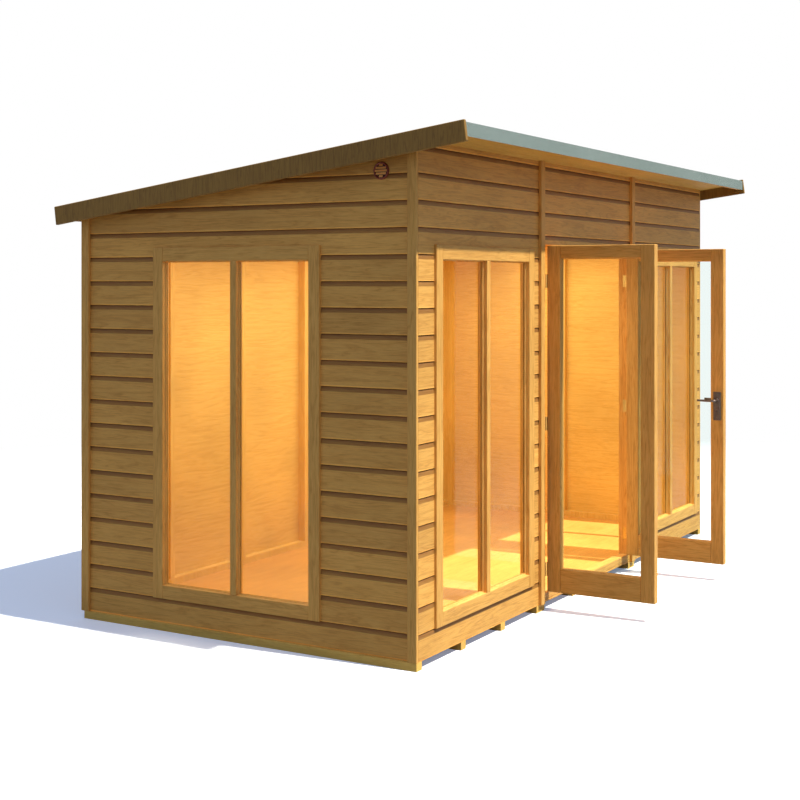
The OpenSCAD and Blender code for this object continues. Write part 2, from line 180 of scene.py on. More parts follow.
def timber(name, axis, light, mid, dark, pitch=0.0, grain=1.0, rough=0.62, bump=0.25):
    """Stained softwood, grain along axis; pitch > 0 gives each board in height its own tone, a painted shade down
    the hollow along its top and a painted highlight along its bottom edge.
    """
    n = Nodes(name)
    pos = n.coords()
    stretch = {"X": (1.0, 14.0, 14.0), "Y": (14.0, 1.0, 14.0), "Z": (14.0, 14.0, 1.0)}[axis]
    tone = None
    if pitch:
        parts = n.add("ShaderNodeSeparateXYZ")
        n.link(pos, parts.inputs[0])
        row = n.math("FLOOR", n.math("DIVIDE", n.math("SUBTRACT", parts.outputs["Z"], BOTTOM), pitch))
        dice = n.add("ShaderNodeTexWhiteNoise", noise_dimensions="1D")
        n.link(row, dice.inputs["W"])
        tone = dice.outputs["Value"]
        shift = n.add("ShaderNodeCombineXYZ")
        jump = n.math("MULTIPLY", tone, 7.3)
        for key in ("X", "Y", "Z"):
            n.link(jump, shift.inputs[key])
        moved = n.add("ShaderNodeVectorMath", operation="ADD")
        n.link(pos, moved.inputs[0])
        n.link(shift.outputs[0], moved.inputs[1])
        pos = moved.outputs[0]
    long = n.mapped(pos, tuple(s * grain for s in stretch))
    figure = n.noise(long, 2.2, detail=3.0, rough=0.5, distortion=1.3)
    rings = n.add("ShaderNodeMath", operation="PINGPONG")
    n.link(n.math("MULTIPLY", figure, 9.0), rings.inputs[0])
    rings.inputs[1].default_value = 1.0
    fine = n.noise(n.mapped(pos, tuple(s * grain for s in stretch)), 22.0, detail=5.0, rough=0.65)
    pores = n.noise(n.mapped(pos, tuple(s * s * grain * 0.5 for s in stretch)), 9.0, detail=2.0)
    broad = n.noise(pos, 1.7, detail=2.0)
    colour = n.ramp(rings.outputs[0], [(0.0, dark), (0.35, mid), (1.0, light)])
    streak = n.ramp(fine, [(0.32, tuple(c * 0.80 for c in mid)), (0.62, light)])
    colour = n.mix(0.5, colour, streak)
    pore = n.ramp(pores, [(0.36, tuple(c * 0.72 for c in dark)), (0.47, (1.0, 1.0, 1.0))])
    colour = n.mix(0.22, colour, pore, "MULTIPLY")
    wide = n.ramp(broad, [(0.3, (0.86, 0.84, 0.80)), (0.7, (1.06, 1.05, 1.04))])
    colour = n.mix(1.0, colour, wide, "MULTIPLY")
    if tone is not None:
        shade = n.ramp(tone, [(0.0, (0.90, 0.88, 0.86)), (1.0, (1.07, 1.06, 1.03))])
        colour = n.mix(1.0, colour, shade, "MULTIPLY")
        # painted highlight and shade: each board is made lighter along its bottom edge and darker down the hollow
        # along its top
        level = n.math("FRACT", n.math("DIVIDE", n.math("SUBTRACT", parts.outputs["Z"], BOTTOM), pitch))
        groove = n.ramp(level, [(0.0, (1.50, 1.45, 1.36)), (0.036, (1.45, 1.40, 1.32)), (0.052, (1.0, 1.0, 1.0)),
                                (0.795, (1.0, 1.0, 1.0)), (0.815, (0.48, 0.42, 0.35)), (1.0, (0.27, 0.21, 0.16))])
        colour = n.mix(1.0, colour, groove, "MULTIPLY")
    height = n.math("ADD", n.math("MULTIPLY", fine, 0.7), n.math("MULTIPLY", pores, 0.5))
    roughness = n.math("ADD", n.math("MULTIPLY", fine, 0.22), rough - 0.11)
    return n.finish(colour, roughness, n.bump(height, bump, 0.0012), specular=0.35)


HONEY = (srgb(240, 186, 98), srgb(228, 168, 80), srgb(196, 136, 58))
# a lighter copy of the honey timber with painted light: inside faces, studs, rafters, roof deck and bearers are
# coloured brighter to stand in for the lit interior
INNER_PAINTED_LIGHTER = (srgb(248, 204, 106), srgb(243, 194, 93), srgb(226, 172, 74))
FLOOR = (srgb(238, 182, 92), srgb(228, 168, 78), srgb(212, 150, 64))
BROWN = (srgb(160, 122, 58), srgb(140, 104, 44), srgb(100, 74, 30))

board_x = timber("timber_boards_along_x", "X", *HONEY, pitch=PITCH)
board_y = timber("timber_boards_along_y", "Y", *HONEY, pitch=PITCH)
sheet_x = timber("timber_inside_along_x", "X", *INNER_PAINTED_LIGHTER, bump=0.15)
sheet_y = timber("timber_inside_along_y", "Y", *INNER_PAINTED_LIGHTER, bump=0.15)
joinery_z = timber("timber_upright", "Z", *HONEY, bump=0.2)
joinery_x = timber("timber_rail_along_x", "X", *HONEY, bump=0.2)
joinery_y = timber("timber_rail_along_y", "Y", *HONEY, bump=0.2)
inner_z = timber("timber_stud_upright", "Z", *INNER_PAINTED_LIGHTER)
inner_x = timber("timber_rail_inside", "X", *INNER_PAINTED_LIGHTER)
inner_y = timber("timber_rafter", "Y", *INNER_PAINTED_LIGHTER)
floor_wood = timber("timber_floor", "X", *FLOOR, rough=0.5, bump=0.12)
bearer_wood = timber("timber_bearer", "Y", *INNER_PAINTED_LIGHTER, bump=0.3)
barge_wood = timber("timber_barge", "Z", *BROWN, grain=1.6, rough=0.7, bump=0.35)


def glass_material():
    """Clear sheet that lets light through and mirrors at a slant."""
    n = Nodes("window_glass_clear")
    n.finish((0.80, 0.90, 0.88), 0.02, specular=0.5)
    through = n.add("ShaderNodeBsdfTransparent")
    through.inputs["Color"].default_value = (0.93, 0.975, 0.965, 1.0)
    facing = n.add("ShaderNodeLayerWeight")
    facing.inputs["Blend"].default_value = 0.5
    edge = n.math("POWER", facing.outputs["Facing"], 4.0)
    slant = n.math("ADD", n.math("MULTIPLY", edge, 0.13), 0.008)
    ripple = n.noise(n.coords(), 3.0, detail=1.0)
    n.link(n.bump(ripple, 0.03, 0.002), n.bsdf.inputs["Normal"])
    gloss = n.add("ShaderNodeBsdfGlossy")
    gloss.inputs["Roughness"].default_value = 0.02
    gloss.inputs["Color"].default_value = (0.95, 1.0, 0.98, 1.0)
    mixer = n.add("ShaderNodeMixShader")
    n.link(slant, mixer.inputs[0])
    n.link(through.outputs[0], mixer.inputs[1])
    n.link(gloss.outputs[0], mixer.inputs[2])
    n.tree.nodes.remove(n.bsdf)
    n.link(mixer.outputs[0], n.out.inputs["Surface"])
    return n.mat


def felt_material():
    """Mineral roofing felt: fine grit on a grey green sheet."""
    n = Nodes("roof_felt_mineral")
    pos = n.coords()
    grit = n.noise(pos, 620.0, detail=2.0, rough=0.7)
    patch = n.noise(pos, 2.3, detail=3.0)
    colour = n.ramp(grit, [(0.30, srgb(92, 104, 100)), (0.50, srgb(130, 144, 138)), (0.72, srgb(160, 172, 166))])
    wear = n.ramp(patch, [(0.3, (0.90, 0.92, 0.91)), (0.7, (1.05, 1.05, 1.05))])
    return n.finish(n.mix(1.0, colour, wear, "MULTIPLY"), 0.92, n.bump(grit, 0.5, 0.0015), specular=0.2)


def metal_material(name, colour, rough, grit=180.0, metallic=1.0):
    n = Nodes(name)
    pos = n.coords()
    speck = n.noise(pos, grit, detail=4.0, rough=0.6)
    cloud = n.noise(pos, 24.0, detail=2.0)
    tint = n.ramp(cloud, [(0.3, tuple(c * 0.84 for c in colour)), (0.7, tuple(min(1.0, c * 1.08) for c in colour))])
    spread = n.math("ADD", n.math("MULTIPLY", speck, 0.2), rough - 0.1)
    return n.finish(tint, spread, n.bump(speck, 0.08, 0.0004), metallic=metallic)


def plastic_material(name, colour, rough):
    n = Nodes(name)
    pos = n.coords()
    grain = n.noise(pos, 420.0, detail=2.0)
    cloud = n.noise(pos, 30.0, detail=2.0)
    tint = n.ramp(cloud, [(0.3, tuple(c * 0.88 for c in colour)), (0.7, tuple(min(1.0, c * 1.05) for c in colour))])
    return n.finish(tint, rough, n.bump(grain, 0.15, 0.0005), specular=0.4)


glass = glass_material()
felt = felt_material()
brass = metal_material("hinge_brass_satin", srgb(222, 178, 98), 0.32)
bronze = metal_material("handle_bronze_dark", srgb(98, 86, 80), 0.38, metallic=0.85)
nail_steel = metal_material("felt_nail_galvanised", srgb(150, 152, 150), 0.45)
vent_dark = plastic_material("vent_back_dark", srgb(58, 20, 10), 0.8)
terracotta = plastic_material("vent_terracotta", srgb(255, 178, 96), 0.5)
rim_red = plastic_material("vent_rim_brown", srgb(110, 34, 10), 0.5)


# ------------------------------------------------------------------ mesh helpers

def piece(name, bm, material, slot, body, *replaced, bevel=0.0, segments=2):
    """Turns a bmesh into an object of the part, on its body."""
    bmesh.ops.recalc_face_normals(bm, faces=bm.faces)
    mesh = bpy.data.meshes.new(name)
    bm.to_mesh(mesh)
    bm.free()
    obj = bpy.data.objects.new(name, mesh)
    bpy.context.scene.collection.objects.link(obj)
    for mat in material if isinstance(material, (list, tuple)) else [material]:
        mesh.materials.append(mat)
    if bevel:
        mod = obj.modifiers.new("edges", "BEVEL")
        mod.width = bevel
        mod.segments = segments
        mod.limit_method = "ANGLE"
        mod.angle_limit = math.radians(40)
        mod.harden_normals = False
    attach(obj, body)
    if replaced:
        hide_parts(*replaced)
    return obj


def add_box(bm, lo, hi, mat=0):
    """A closed box between two corners."""
    verts = [bm.verts.new((x, y, z)) for x in (lo[0], hi[0]) for y in (lo[1], hi[1]) for z in (lo[2], hi[2])]
    quads = ((0, 1, 3, 2), (4, 6, 7, 5), (0, 4, 5, 1), (2, 3, 7, 6), (0, 2, 6, 4), (1, 5, 7, 3))
    for quad in quads:
        face = bm.faces.new([verts[i] for i in quad])
        face.material_index = mat
    return verts


def add_prism(bm, outline, a, b, place, mat=0):
    """outline of (depth, height) points swept from a to b; place(run, depth, height) gives each corner."""
    start = [bm.verts.new(place(a, d, h)) for d, h in outline]
    end = [bm.verts.new(place(b, d, h)) for d, h in outline]
    bm.faces.new(start).material_index = mat
    bm.faces.new(list(reversed(end))).material_index = mat
    count = len(outline)
    for i in range(count):
        j = (i + 1) % count
        bm.faces.new((start[j], start[i], end[i], end[j])).material_index = mat


def slice_off(bm, point, normal):
    """Cuts away what lies on the normal's side of a plane, and closes the cut."""
    geom = bm.verts[:] + bm.edges[:] + bm.faces[:]
    cut = bmesh.ops.bisect_plane(bm, geom=geom, plane_co=point, plane_no=normal, clear_outer=True, dist=1e-6)
    edges = [e for e in cut["geom_cut"] if isinstance(e, bmesh.types.BMEdge) and e.is_boundary]
    if edges:
        bmesh.ops.holes_fill(bm, edges=edges, sides=0)


def board_outline(z0, thick):
    """One shiplap board: flat face, hollow along its top, small round at its bottom edge."""
    z1 = z0 + PITCH
    rim = 0.0018
    pts = [(thick, z0), (rim * 0.6, z0), (0.0, z0 + rim)]
    pts.append((0.0, z1 - SCOOP_H - 0.001))
    for i in range(1, 7):
        a = math.radians(90 * i / 6)
        pts.append((SCOOP_D * (1 - math.cos(a)), z1 - SCOOP_H + SCOOP_H * math.sin(a)))
    pts.append((thick, z1))
    return pts


def clip_outline(outline, lo, hi):
    """Keeps the part of a (depth, height) outline between two heights."""
    for limit, keep_above in ((lo, True), (hi, False)):
        result = []
        for i, p in enumerate(outline):
            q = outline[(i + 1) % len(outline)]
            inside_p = p[1] >= limit if keep_above else p[1] <= limit
            inside_q = q[1] >= limit if keep_above else q[1] <= limit
            if inside_p:
                result.append(p)
            if inside_p != inside_q:
                t = (limit - p[1]) / (q[1] - p[1])
                result.append((p[0] + t * (q[0] - p[0]), limit))
        outline = result
    return outline


def shiplap(name, node, face, run, material, slot_name, hole=None):
    """Boards over a wall sheet. face is 'front', 'back', 'left' or 'right'; hole = (run0, run1, z0, z1)."""
    lo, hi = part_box(node)
    place = {
        "front": lambda r, d, h: (r, lo[1] + d, h),
        "back": lambda r, d, h: (r, hi[1] - d, h),
        "left": lambda r, d, h: (lo[0] + d, r, h),
        "right": lambda r, d, h: (hi[0] - d, r, h),
    }[face]
    axis = 1 if face in ("left", "right") else 0
    a, b = lo[axis], hi[axis]
    top = hi[2] + 0.002
    bm = bmesh.new()
    row = math.floor((lo[2] - BOTTOM) / PITCH + 1e-6)
    while BOTTOM + row * PITCH < top - 0.002:
        z0 = BOTTOM + row * PITCH
        outline = clip_outline(board_outline(z0, BOARD_T), lo[2], top)
        spans = [(a, b, outline)]
        if hole and z0 + PITCH > hole[2] + 0.0005 and z0 < hole[3] - 0.0005:
            spans = [(a, hole[0], outline), (hole[1], b, outline)]
            if z0 < hole[2]:
                spans.append((hole[0], hole[1], clip_outline(outline, z0 - 1, hole[2])))
            if z0 + PITCH > hole[3]:
                spans.append((hole[0], hole[1], clip_outline(outline, hole[3], z0 + PITCH + 1)))
        for s0, s1, shape in spans:
            if len(shape) > 2 and s1 - s0 > 0.001:
                add_prism(bm, shape, s0, s1, place)
        row += 1
    bmesh.ops.recalc_face_normals(bm, faces=bm.faces)
    slice_off(bm, (0.0, FRONT, FRONT_TOP), (0.0, SLOPE, 1.0))
    across = 1 - axis
    inner = hi[across] if face in ("front", "left") else lo[across]
    for side in bm.faces:
        if all(abs(v.co[across] - inner) < 1e-5 for v in side.verts):
            side.material_index = 1
    return piece(name, bm, [material, sheet_y if axis else sheet_x], slot_name, HOUSE, node)


# ------------------------------------------------------------------ walls

def hole_of(node, axis):
    lo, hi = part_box(node)
    return (lo[axis], hi[axis], lo[2], hi[2])


def build_walls():
    shiplap("front_left_boards", "front_left_cladding", "front", "X", board_x, "cladding_timber",
            hole_of("front_left_window", 0))
    shiplap("front_right_boards", "front_right_cladding", "front", "X", board_x, "cladding_timber",
            hole_of("front_right_window", 0))
    shiplap("header_boards", "header_cladding", "front", "X", board_x, "cladding_timber")
    shiplap("left_wall_boards", "left_wall_cladding", "left", "Y", board_y, "cladding_timber",
            hole_of("left_wall_window", 1))
    shiplap("right_wall_boards", "right_wall_cladding", "right", "Y", board_y, "cladding_timber")
    shiplap("back_left_boards", "back_left_cladding", "back", "X", board_x, "cladding_timber")
    shiplap("back_right_boards", "back_right_cladding", "back", "X", board_x, "cladding_timber")


def sloped_top(bm):
    slice_off(bm, (0.0, FRONT, FRONT_TOP), (0.0, SLOPE, 1.0))


def build_trims():
    """Corner trims and the strips over the panel joints."""
    for name, node in (("corner_trim_boards", "corner_trims"), ("joint_strip_boards", "joint_strips")):
        bm = bmesh.new()
        for lo, hi in solids_of(node):
            add_box(bm, lo, (hi[0], hi[1], hi[2] + 0.01))
        bmesh.ops.recalc_face_normals(bm, faces=bm.faces)
        sloped_top(bm)
        piece(name, bm, joinery_z, "cladding_timber", HOUSE, node, bevel=0.0022)


def solids_of(node):
    """The boxes of the loose solids of a CAD node."""
    mesh = nodes[node].data
    links = {v.index: [] for v in mesh.vertices}
    for edge in mesh.edges:
        i, j = edge.vertices
        links[i].append(j)
        links[j].append(i)
    spots = {}
    for v in mesh.vertices:
        spots.setdefault(tuple(round(c, 5) for c in v.co), []).append(v.index)
    for same in spots.values():
        for i in same[1:]:
            links[same[0]].append(i)
            links[i].append(same[0])
    seen, boxes = set(), []
    for v in mesh.vertices:
        if v.index in seen:
            continue
        stack, group = [v.index], []
        seen.add(v.index)
        while stack:
            i = stack.pop()
            group.append(mesh.vertices[i].co)
            for j in links[i]:
                if j not in seen:
                    seen.add(j)
                    stack.append(j)
        lo = tuple(min(c[k] for c in group) for k in range(3))
        hi = tuple(max(c[k] for c in group) for k in range(3))
        boxes.append((lo, hi))
    return sorted(boxes)


# ------------------------------------------------------------------ windows

def frame_members(bm, outer, inner_list, depth0, depth1, put):
    """Stiles full height, rails between, an upright bar between panes. put(u, depth, z) places a corner."""
    (u0, u1, z0, z1) = outer
    first, last = inner_list[0], inner_list[-1]
    bars = [(u0, first[0], z0, z1), (last[1], u1, z0, z1),
            (first[0], last[1], z0, first[2]), (first[0], last[1], first[3], z1)]
    for left, right in zip(inner_list, inner_list[1:]):
        bars.append((left[1], right[0], first[2], first[3]))
    for k, (a, b, c, d) in enumerate(bars):
        inset = 0.0 if k < 2 else 0.0006
        corners = [put(u, dep, z) for u in (a, b) for dep in (depth0 + inset, depth1 - inset) for z in (c, d)]
        lo = tuple(min(p[i] for p in corners) for i in range(3))
        hi = tuple(max(p[i] for p in corners) for i in range(3))
        add_box(bm, lo, hi, 0 if (k < 2 or k > 3) else 1)


def add_bead(bm, opening, depth, step, size, put, mat=0):
    """Sloped glazing bead round a pane, from the glass face outwards. opening = (u0, u1, z0, z1)."""
    (u0, u1, z0, z1) = opening
    section = [(0.0, 0.0), (size, 0.0), (size * 0.9, step * 0.45), (size * 0.45, step * 0.85), (0.0, step)]
    ring = []
    for inset, out in section:
        ring.append([bm.verts.new(put(u, depth + out, z)) for u, z in
                     ((u0 + inset, z0 + inset), (u1 - inset, z0 + inset), (u1 - inset, z1 - inset), (u0 + inset, z1 - inset))])
    for i in range(len(ring)):
        nxt = ring[(i + 1) % len(ring)]
        for k in range(4):
            j = (k + 1) % 4
            face = bm.faces.new((ring[i][k], ring[i][j], nxt[j], nxt[k]))
            face.material_index = mat


def panes_of(node, axis):
    """Openings of the panes of a glass node as (u0, u1, z0, z1), in order along axis."""
    return [(lo[axis], hi[axis], lo[2], hi[2]) for lo, hi in sorted(solids_of(node), key=lambda s: s[0][axis])]


def build_window(name, node, glass_node, facing):
    """Fixed window: frame members and beads both sides."""
    lo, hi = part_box(node)
    axis = 0 if facing == "front" else 1
    if facing == "front":
        put = lambda u, d, z: (u, lo[1] + d, z)
        glass_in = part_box(glass_node)[0][1] - lo[1]
        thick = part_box(glass_node)[1][1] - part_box(glass_node)[0][1]
        depth = hi[1] - lo[1]
        mats = [joinery_z, joinery_x]
    else:
        put = lambda u, d, z: (lo[0] + d, u, z)
        glass_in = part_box(glass_node)[0][0] - lo[0]
        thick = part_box(glass_node)[1][0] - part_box(glass_node)[0][0]
        depth = hi[0] - lo[0]
        mats = [joinery_z, joinery_y]
    outer = (lo[axis], hi[axis], lo[2], hi[2])
    panes = panes_of(glass_node, axis)
    bm = bmesh.new()
    frame_members(bm, outer, panes, 0.0, depth, put)
    piece(name, bm, mats, "joinery_timber", HOUSE, node, bevel=0.0025)
    bm = bmesh.new()
    for pane in panes:
        add_bead(bm, pane, glass_in, -0.009, 0.0045, put, 0)
        add_bead(bm, pane, glass_in + thick, 0.011, 0.0050, put, 0)
    piece(name + "_beads", bm, mats, "joinery_timber", HOUSE)


def build_windows():
    build_window("front_left_window_frame", "front_left_window", "front_left_glass", "front")
    build_window("front_right_window_frame", "front_right_window", "front_right_glass", "front")
    build_window("left_wall_window_frame", "left_wall_window", "left_wall_glass", "left")


# ------------------------------------------------------------------ doors (standing open at right angles)

def build_door(side, body):
    """Stiles, rails and beads of one glazed leaf; its thickness runs along X at rest."""
    leaf, pane = side + "_door_leaf", side + "_door_glass"
    lo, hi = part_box(leaf)
    glo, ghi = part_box(pane)
    put = lambda u, d, z: (lo[0] + d, u, z)
    opening = (glo[1], ghi[1], glo[2], ghi[2])
    bm = bmesh.new()
    frame_members(bm, (lo[1], hi[1], lo[2], hi[2]), [opening], 0.0, hi[0] - lo[0], put)
    piece(side + "_door_frame", bm, [joinery_z, joinery_y], "joinery_timber", body, leaf, bevel=0.003)
    bm = bmesh.new()
    add_bead(bm, opening, glo[0] - lo[0], -0.011, 0.0050, put, 0)
    add_bead(bm, opening, ghi[0] - lo[0], 0.011, 0.0050, put, 0)
    piece(side + "_door_beads", bm, [joinery_z, joinery_y], "joinery_timber", body)


def add_disc(bm, centre, radius, height, axis, sides=20, dome=0.0):
    """A short round piece along axis ('X', 'Y' or 'Z'), with a chamfered top."""
    rings = [(radius, 0.0), (radius, height * 0.6), (radius * 0.86, height)]
    if dome:
        rings.append((radius * 0.5, height + dome))
    turn = {"X": lambda r, a, h: (h, r * math.cos(a), r * math.sin(a)),
            "Y": lambda r, a, h: (r * math.cos(a), h, r * math.sin(a)),
            "Z": lambda r, a, h: (r * math.cos(a), r * math.sin(a), h)}[axis]
    loops = []
    for r, h in rings:
        loop = []
        for i in range(sides):
            p = turn(r, 2 * math.pi * i / sides, h)
            loop.append(bm.verts.new((centre[0] + p[0], centre[1] + p[1], centre[2] + p[2])))
        loops.append(loop)
    for a, b in zip(loops, loops[1:]):
        for i in range(sides):
            j = (i + 1) % sides
            bm.faces.new((a[i], a[j], b[j], b[i]))
    bm.faces.new(loops[-1])
    bm.faces.new(list(reversed(loops[0])))


def build_handle():
    """Backplates with screws and keyholes, and a swept lever on each face."""
    plates = solids_of("handle_plates")
    leaf_lo, leaf_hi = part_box("right_door_leaf")
    lever_lo, lever_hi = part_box("handle_lever")
    bm = bmesh.new()
    for lo, hi in plates:
        add_box(bm, lo, hi)
    piece("handle_backplates", bm, bronze, "handle_bronze", RIGHT, "handle_plates", bevel=0.0022, segments=3)
    mid_y = (plates[0][0][1] + plates[0][1][1]) / 2
    spindle_z = (lever_lo[2] + lever_hi[2]) / 2
    bm = bmesh.new()
    for lo, hi in plates:
        out = lo[0] < leaf_lo[0]
        x = lo[0] if out else hi[0]
        sign = -1.0 if out else 1.0
        for z in (lo[2] + 0.012, hi[2] - 0.012):
            add_disc(bm, (x, mid_y, z), 0.0045, sign * 0.0012, "X")
        add_disc(bm, (x, mid_y, spindle_z), 0.0125, sign * 0.009, "X", sides=28)
        add_disc(bm, (x, mid_y, spindle_z - 0.056), 0.0085, sign * 0.0016, "X", sides=24)
        add_box(bm, (min(x, x + sign * 0.0016), mid_y - 0.005, spindle_z - 0.080),
                (max(x, x + sign * 0.0016), mid_y + 0.005, spindle_z - 0.058))
    piece("handle_roses_and_screws", bm, bronze, "handle_bronze", RIGHT)
    curve_lever(lever_lo, lever_hi, mid_y, spindle_z)


def sweep(bm, path, sizes, sides=16):
    """An oval bar along a path; sizes gives (half width, half height) at each point."""
    loops = []
    for k, p in enumerate(path):
        before, after = path[max(0, k - 1)], path[min(len(path) - 1, k + 1)]
        along = (Vector(after) - Vector(before)).normalized()
        up = Vector((0, 0, 1))
        side = along.cross(up).normalized()
        w, h = sizes[k]
        loops.append([bm.verts.new(Vector(p) + side * (w * math.cos(a)) + up * (h * math.sin(a)))
                      for a in [2 * math.pi * i / sides for i in range(sides)]])
    for a, b in zip(loops, loops[1:]):
        for i in range(sides):
            j = (i + 1) % sides
            bm.faces.new((a[i], a[j], b[j], b[i]))
    bm.faces.new(loops[-1])
    bm.faces.new(list(reversed(loops[0])))


def curve_lever(lo, hi, y_spindle, z):
    bm = bmesh.new()
    mid_x = (lo[0] + hi[0]) / 2
    for sign in (-1.0, 1.0):
        reach = (hi[0] - lo[0]) / 2 - 0.0035
        stem = mid_x + sign * (reach - 0.012)
        path, sizes = [], []
        for i in range(5):
            path.append((mid_x + sign * (0.010 + (reach - 0.024) * i / 4), y_spindle, z))
            sizes.append((0.0065, 0.0065))
        for i in range(1, 7):
            a = math.radians(90 * i / 6)
            path.append((stem + sign * 0.012 * math.sin(a), y_spindle + 0.014 * (1 - math.cos(a)), z))
            sizes.append((0.0062, 0.0066))
        tip = hi[1] - 0.003
        start = y_spindle + 0.014
        for i in range(1, 10):
            t = i / 9
            path.append((stem + sign * (0.012 - 0.004 * math.sin(math.pi * t)), start + (tip - start) * t,
                         z - 0.0008 * math.sin(math.pi * t)))
            sizes.append((0.0042 - 0.0008 * t, 0.0066 - 0.0012 * t * t))
        sweep(bm, path, sizes)
    obj = piece("handle_levers", bm, bronze, "handle_bronze", LEVER, "handle_lever")
    for face in obj.data.polygons:
        face.use_smooth = True


def build_hinge_screws():
    """Countersunk screw heads, two rows of three, on each hinge plate fixed to a door post."""
    spots = [v.co for v in nodes["jamb_hinges"].data.vertices]
    bm = bmesh.new()
    for lo, hi in solids_of("jamb_hinges"):
        rear = [p[0] for p in spots if p[1] > hi[1] - 1e-4 and lo[2] - 1e-4 < p[2] < hi[2] + 1e-4
                and lo[0] - 1e-4 < p[0] < hi[0] + 1e-4]
        towards_middle = lo[0] < 0
        x = max(rear) if towards_middle else min(rear)
        step = 0.0006 if towards_middle else -0.0006
        tall = hi[2] - lo[2]
        for y in (hi[1] - 0.007, hi[1] - 0.018):
            for part in (0.16, 0.5, 0.84):
                add_disc(bm, (x, y, lo[2] + tall * part), 0.0032, step, "X", sides=14)
    piece("hinge_screws", bm, brass, "hinge_brass", HOUSE)


# ------------------------------------------------------------------ doorway, floor, roof

def build_doorway():
    for name, node, mat, bevel in (("door_post_boards", "door_posts", joinery_z, 0.0025),):
        bm = bmesh.new()
        for lo, hi in solids_of(node):
            add_box(bm, (lo[0], lo[1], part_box("floor_left")[1][2]), hi)
            add_box(bm, lo, (hi[0], lo[1] + BOARD_T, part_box("floor_left")[1][2]))
        piece(name, bm, mat, "joinery_timber", HOUSE, node, bevel=bevel)
    lo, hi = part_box("threshold")
    floor_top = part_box("floor_middle")[1][2]
    bm = bmesh.new()
    add_box(bm, (lo[0], lo[1], floor_top), hi)
    add_box(bm, lo, (hi[0], lo[1] + BOARD_T, floor_top))
    piece("threshold_board", bm, joinery_x, "joinery_timber", HOUSE, "threshold", bevel=0.004, segments=3)


def build_roof():
    """Deck boards under the felt."""
    lo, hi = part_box("roof_deck")
    tan = SLOPE
    rise = (hi[2] - lo[2]) - (hi[1] - lo[1]) * tan
    board = 0.100
    bm = bmesh.new()
    y = lo[1]
    while y < hi[1] - 1e-4:
        y2 = min(y + board, hi[1])
        z1, z2 = roof_under(y), roof_under(y2)
        groove = 0.0028
        outline = [(y + groove, z1 - tan * groove), (y2 - groove, z2 + tan * groove), (y2, z2 + groove),
                   (y2, z2 + rise), (y, z1 + rise), (y, z1 + groove)]
        add_prism(bm, outline, lo[0], hi[0], lambda r, d, h: (r, d, h))
        y = y2
    piece("roof_deck_boards", bm, inner_x, "frame_timber", HOUSE, "roof_deck")


def build_barges():
    for node in ("barge_left", "barge_right"):
        lo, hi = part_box(node)
        ang = math.atan(SLOPE)
        # corners of the board: the ends are square to the slope
        width, height = hi[1] - lo[1], hi[2] - lo[2]
        depth = (height - width * SLOPE) / (math.cos(ang) - math.sin(ang) * SLOPE)
        dy, dz = depth * math.sin(ang), depth * math.cos(ang)
        top_front = (lo[1] + dy, hi[2])
        top_back = (hi[1], hi[2] - (hi[1] - lo[1] - dy) * SLOPE)
        outline = [(lo[1], hi[2] - dz), (top_back[0] - dy, top_back[1] - dz), top_back, top_front]
        bm = bmesh.new()
        add_prism(bm, outline, lo[0], hi[0], lambda r, d, h: (r, d, h))
        piece(node + "_board", bm, barge_wood, "barge_timber", HOUSE, node, bevel=0.003)


def build_vent():
    """Round vent: a dark rounded rim and tilted terracotta slats."""
    lo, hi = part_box("vent")
    cy, cz = (lo[1] + hi[1]) / 2, (lo[2] + hi[2]) / 2
    r = (hi[1] - lo[1]) / 2
    rim = 0.009
    bm = bmesh.new()
    around, across = 56, 10
    loops = []
    for i in range(around):
        a = 2 * math.pi * i / around
        loop = []
        for k in range(across):
            b = math.pi * k / (across - 1)
            rr = r - rim / 2 + rim / 2 * math.cos(b)
            loop.append(bm.verts.new((hi[0] - (hi[0] - lo[0]) * math.sin(b), cy + rr * math.cos(a), cz + rr * math.sin(a))))
        loops.append(loop)
    for i in range(around):
        a, b = loops[i], loops[(i + 1) % around]
        for k in range(across):
            m = (k + 1) % across
            bm.faces.new((a[k], b[k], b[m], a[m]))
    obj = piece("vent_rim", bm, rim_red, "vent_plastic", HOUSE, "vent")
    for face in obj.data.polygons:
        face.use_smooth = True
    inner = r - rim + 0.001
    bm = bmesh.new()
    add_disc(bm, (hi[0] - 0.0012, cy, cz), inner + 0.001, -0.0006, "X", sides=40)
    piece("vent_back", bm, vent_dark, "vent_plastic", HOUSE)
    bm = bmesh.new()
    count = 5
    pitch = 2 * inner / count
    for i in range(count):
        z = cz - inner + pitch * (i + 0.5)
        reach = abs(z - cz) + pitch * 0.38
        half = math.sqrt(max(1e-6, inner ** 2 - reach ** 2))
        x0 = lo[0] + 0.0010
        add_prism(bm, [(x0, z - pitch * 0.40), (x0 + 0.0014, z - pitch * 0.40), (x0 + 0.0042, z + pitch * 0.38),
                       (x0 + 0.0028, z + pitch * 0.38)], cy - half, cy + half, lambda run, d, h: (d, run, h))
    piece("vent_slats", bm, terracotta, "vent_plastic", HOUSE, bevel=0.0004)


def build_felt_details():
    """Laps across the roof and clout nails along the turned down edges of the felt."""
    top = lambda y: FELT_HI[2] - (y - FELT_LO[1]) * SLOPE
    bm = bmesh.new()
    deep = FELT_HI[1] - FELT_LO[1]
    for share in (0.36, 0.72):
        y = FELT_LO[1] + deep * share
        add_prism(bm, [(y, top(y) - 0.001), (y, top(y) + 0.0024), (y + 0.06, top(y + 0.06) + 0.0006),
                       (y + 0.06, top(y + 0.06) - 0.001)], FELT_LO[0], FELT_HI[0], lambda r, d, h: (r, d, h))
    piece("felt_laps", bm, felt, "roof_felt", HOUSE)
    bm = bmesh.new()
    count = int((FELT_HI[0] - FELT_LO[0]) / 0.15)
    for y, out in ((FELT_LO[1], -0.0008), (FELT_HI[1], 0.0008)):
        for i in range(count + 1):
            x = FELT_LO[0] + 0.03 + (FELT_HI[0] - FELT_LO[0] - 0.06) * i / count
            add_disc(bm, (x, y, top(y) - 0.011), 0.0045, out, "Y", sides=12)
    piece("felt_nails", bm, nail_steel, "roof_felt", HOUSE)


